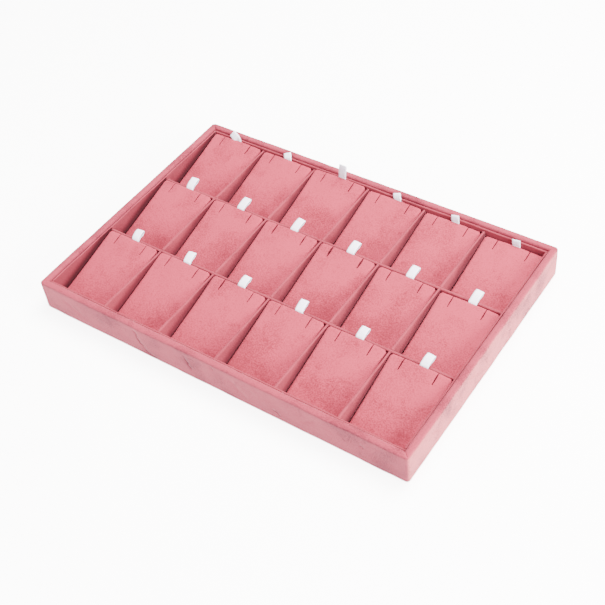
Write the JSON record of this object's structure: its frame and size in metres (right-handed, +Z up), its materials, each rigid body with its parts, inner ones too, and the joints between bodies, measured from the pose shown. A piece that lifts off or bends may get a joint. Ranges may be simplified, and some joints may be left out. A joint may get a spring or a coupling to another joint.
{
  "type": "jewelry display tray",
  "caption": "Shallow velvet-covered tray divided into cells, each with a sloped lift-out pad slit for a necklace chain and a ribbon pull",
  "frame": {"origin": "middle of the underside, on the surface the tray stands on", "axes": "+X along the long side, +Y to the back where the pads stand highest, +Z up"},
  "size_m": [0.35, 0.24, 0.0335],
  "materials": {
    "pad_velvet": "short-pile velvet, dusty pink",
    "wrap_velvet": "short-pile velvet, dusty pink",
    "liner_velvet": "short-pile velvet, dusty pink",
    "divider_velvet": "short-pile velvet, dusty pink",
    "board": "plain fibreboard",
    "felt": "thin pressed felt",
    "satin_ribbon": "white satin ribbon"
  },
  "bodies": {
    "tray": {"base_felt": "felt", "bottom_board": "board", "front_wall_board": "board", "back_wall_board": "board", "left_wall_board": "board", "right_wall_board": "board", "velvet_wrap": "wrap_velvet", "floor_liner": "liner_velvet", "front_liner": "liner_velvet", "back_liner": "liner_velvet", "left_liner": "liner_velvet", "right_liner": "liner_velvet", "row_divider_1": "divider_velvet", "row_divider_2": "divider_velvet", "column_divider_1": "divider_velvet", "column_divider_2": "divider_velvet", "column_divider_3": "divider_velvet", "column_divider_4": "divider_velvet", "column_divider_5": "divider_velvet"},
    "insert_r1c1": {"pad_r1c1": "pad_velvet", "ribbon_r1c1": "satin_ribbon"},
    "insert_r1c2": {"pad_r1c2": "pad_velvet", "ribbon_r1c2": "satin_ribbon"},
    "insert_r1c3": {"pad_r1c3": "pad_velvet", "ribbon_r1c3": "satin_ribbon"},
    "insert_r1c4": {"pad_r1c4": "pad_velvet", "ribbon_r1c4": "satin_ribbon"},
    "insert_r1c5": {"pad_r1c5": "pad_velvet", "ribbon_r1c5": "satin_ribbon"},
    "insert_r1c6": {"pad_r1c6": "pad_velvet", "ribbon_r1c6": "satin_ribbon"},
    "insert_r2c1": {"pad_r2c1": "pad_velvet", "ribbon_r2c1": "satin_ribbon"},
    "insert_r2c2": {"pad_r2c2": "pad_velvet", "ribbon_r2c2": "satin_ribbon"},
    "insert_r2c3": {"pad_r2c3": "pad_velvet", "ribbon_r2c3": "satin_ribbon"},
    "insert_r2c4": {"pad_r2c4": "pad_velvet", "ribbon_r2c4": "satin_ribbon"},
    "insert_r2c5": {"pad_r2c5": "pad_velvet", "ribbon_r2c5": "satin_ribbon"},
    "insert_r2c6": {"pad_r2c6": "pad_velvet", "ribbon_r2c6": "satin_ribbon"},
    "insert_r3c1": {"pad_r3c1": "pad_velvet", "ribbon_r3c1": "satin_ribbon"},
    "insert_r3c2": {"pad_r3c2": "pad_velvet", "ribbon_r3c2": "satin_ribbon"},
    "insert_r3c3": {"pad_r3c3": "pad_velvet", "ribbon_r3c3": "satin_ribbon"},
    "insert_r3c4": {"pad_r3c4": "pad_velvet", "ribbon_r3c4": "satin_ribbon"},
    "insert_r3c5": {"pad_r3c5": "pad_velvet", "ribbon_r3c5": "satin_ribbon"},
    "insert_r3c6": {"pad_r3c6": "pad_velvet", "ribbon_r3c6": "satin_ribbon"}
  },
  "joints": [
    {"name": "lift_r1c1", "type": "slide", "parent": "tray", "child": "insert_r1c1", "axis": [0, 0, 1], "range_m": [0, 0.045]},
    {"name": "lift_r1c2", "type": "slide", "parent": "tray", "child": "insert_r1c2", "axis": [0, 0, 1], "range_m": [0, 0.045]},
    {"name": "lift_r1c3", "type": "slide", "parent": "tray", "child": "insert_r1c3", "axis": [0, 0, 1], "range_m": [0, 0.045]},
    {"name": "lift_r1c4", "type": "slide", "parent": "tray", "child": "insert_r1c4", "axis": [0, 0, 1], "range_m": [0, 0.045]},
    {"name": "lift_r1c5", "type": "slide", "parent": "tray", "child": "insert_r1c5", "axis": [0, 0, 1], "range_m": [0, 0.045]},
    {"name": "lift_r1c6", "type": "slide", "parent": "tray", "child": "insert_r1c6", "axis": [0, 0, 1], "range_m": [0, 0.045]},
    {"name": "lift_r2c1", "type": "slide", "parent": "tray", "child": "insert_r2c1", "axis": [0, 0, 1], "range_m": [0, 0.045]},
    {"name": "lift_r2c2", "type": "slide", "parent": "tray", "child": "insert_r2c2", "axis": [0, 0, 1], "range_m": [0, 0.045]},
    {"name": "lift_r2c3", "type": "slide", "parent": "tray", "child": "insert_r2c3", "axis": [0, 0, 1], "range_m": [0, 0.045]},
    {"name": "lift_r2c4", "type": "slide", "parent": "tray", "child": "insert_r2c4", "axis": [0, 0, 1], "range_m": [0, 0.045]},
    {"name": "lift_r2c5", "type": "slide", "parent": "tray", "child": "insert_r2c5", "axis": [0, 0, 1], "range_m": [0, 0.045]},
    {"name": "lift_r2c6", "type": "slide", "parent": "tray", "child": "insert_r2c6", "axis": [0, 0, 1], "range_m": [0, 0.045]},
    {"name": "lift_r3c1", "type": "slide", "parent": "tray", "child": "insert_r3c1", "axis": [0, 0, 1], "range_m": [0, 0.045]},
    {"name": "lift_r3c2", "type": "slide", "parent": "tray", "child": "insert_r3c2", "axis": [0, 0, 1], "range_m": [0, 0.045]},
    {"name": "lift_r3c3", "type": "slide", "parent": "tray", "child": "insert_r3c3", "axis": [0, 0, 1], "range_m": [0, 0.045]},
    {"name": "lift_r3c4", "type": "slide", "parent": "tray", "child": "insert_r3c4", "axis": [0, 0, 1], "range_m": [0, 0.045]},
    {"name": "lift_r3c5", "type": "slide", "parent": "tray", "child": "insert_r3c5", "axis": [0, 0, 1], "range_m": [0, 0.045]},
    {"name": "lift_r3c6", "type": "slide", "parent": "tray", "child": "insert_r3c6", "axis": [0, 0, 1], "range_m": [0, 0.045]}
  ]
}
